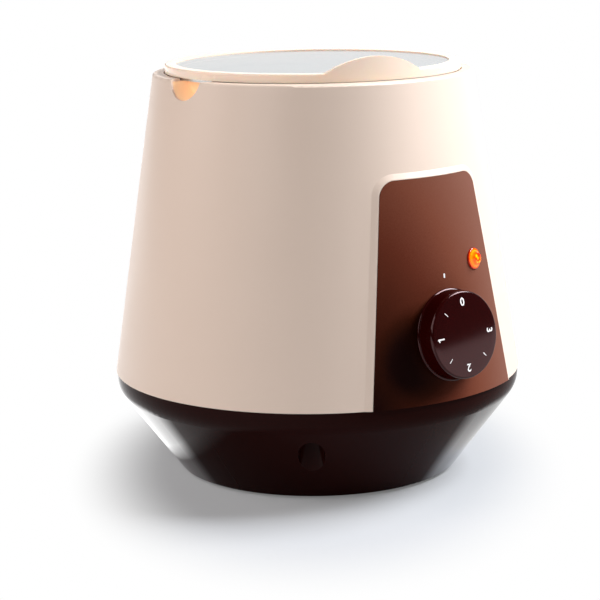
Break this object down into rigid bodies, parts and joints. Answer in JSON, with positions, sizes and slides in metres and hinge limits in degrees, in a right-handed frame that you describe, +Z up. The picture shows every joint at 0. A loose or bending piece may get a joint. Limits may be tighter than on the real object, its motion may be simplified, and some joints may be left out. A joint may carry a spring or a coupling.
{
  "type": "chocolate melter",
  "caption": "Round chocolate melter: conical housing on a bowl-shaped base, lift-out pot in a heating well, windowed lid with a grip tab, panel with thermostat knob and pilot lamp.",
  "frame": {"origin": "on the table under the middle of the base's bottom ring", "axes": "+Z up, -Y towards the control panel, +Y the way the cord leaves, +X to the right seen from the front"},
  "size_m": [0.23, 0.2405, 0.2389],
  "materials": {
    "cream_housing": "glossy moulded cream plastic",
    "dark_base": "glossy moulded dark brown plastic",
    "brown_panel": "satin printed brown plastic",
    "knob_plastic": "glossy moulded dark brown plastic",
    "amber_lens": "faceted amber lens",
    "lid_cream": "glossy moulded cream plastic",
    "clear_window": "clear moulded plastic",
    "pot_steel": "brushed stainless steel",
    "well_aluminium": "spun aluminium",
    "plated_steel": "zinc-plated steel",
    "heater_silicone": "red-brown silicone heating mat",
    "glass_fibre": "needled glass fibre",
    "grey_silicone": "soft grey silicone",
    "black_rubber": "matte black rubber",
    "black_phenolic": "matte black phenolic",
    "white_nylon": "matte white nylon",
    "copper": "drawn copper"
  },
  "bodies": {
    "root": {"housing": "cream_housing", "base": "dark_base", "control_panel": "brown_panel", "thermostat_body": "black_phenolic", "thermostat_terminals": "plated_steel", "thermostat_screws": "plated_steel", "pilot_lens": "amber_lens", "pilot_body": "white_nylon", "pilot_retainer": "plated_steel", "sensor_bulb": "copper", "sensor_clip": "plated_steel", "heating_well": "well_aluminium", "heater_band": "heater_silicone", "insulation_sleeve": "glass_fibre", "well_seal": "grey_silicone", "thermal_cutout": "plated_steel", "heat_shield": "plated_steel", "well_spacers": "plated_steel", "well_screws": "plated_steel", "terminal_block": "white_nylon", "cord_gland": "black_phenolic", "base_screws": "plated_steel", "foot_front_right": "black_rubber", "foot_back_right": "black_rubber", "foot_back_left": "black_rubber", "foot_front_left": "black_rubber"},
    "knob_train": {"knob": "knob_plastic", "knob_clip": "plated_steel", "thermostat_shaft": "plated_steel"},
    "pot_body": {"pot": "pot_steel", "pot_flange": "pot_steel"},
    "lid_body": {"lid_frame": "lid_cream", "lid_window": "clear_window"}
  },
  "joints": [
    {"name": "knob_turn", "type": "hinge", "parent": "root", "child": "knob_train", "pos_m": [0, -0.10974, 0.0918], "axis": [0, 0.9884, -0.1516], "range_deg": [0, 270]},
    {"name": "pot_lift", "type": "slide", "parent": "root", "child": "pot_body", "axis": [0, 0, 1], "range_m": [0, 0.15]},
    {"name": "lid_lift", "type": "slide", "parent": "pot_body", "child": "lid_body", "axis": [0, 0, 1], "range_m": [0, 0.06]}
  ]
}
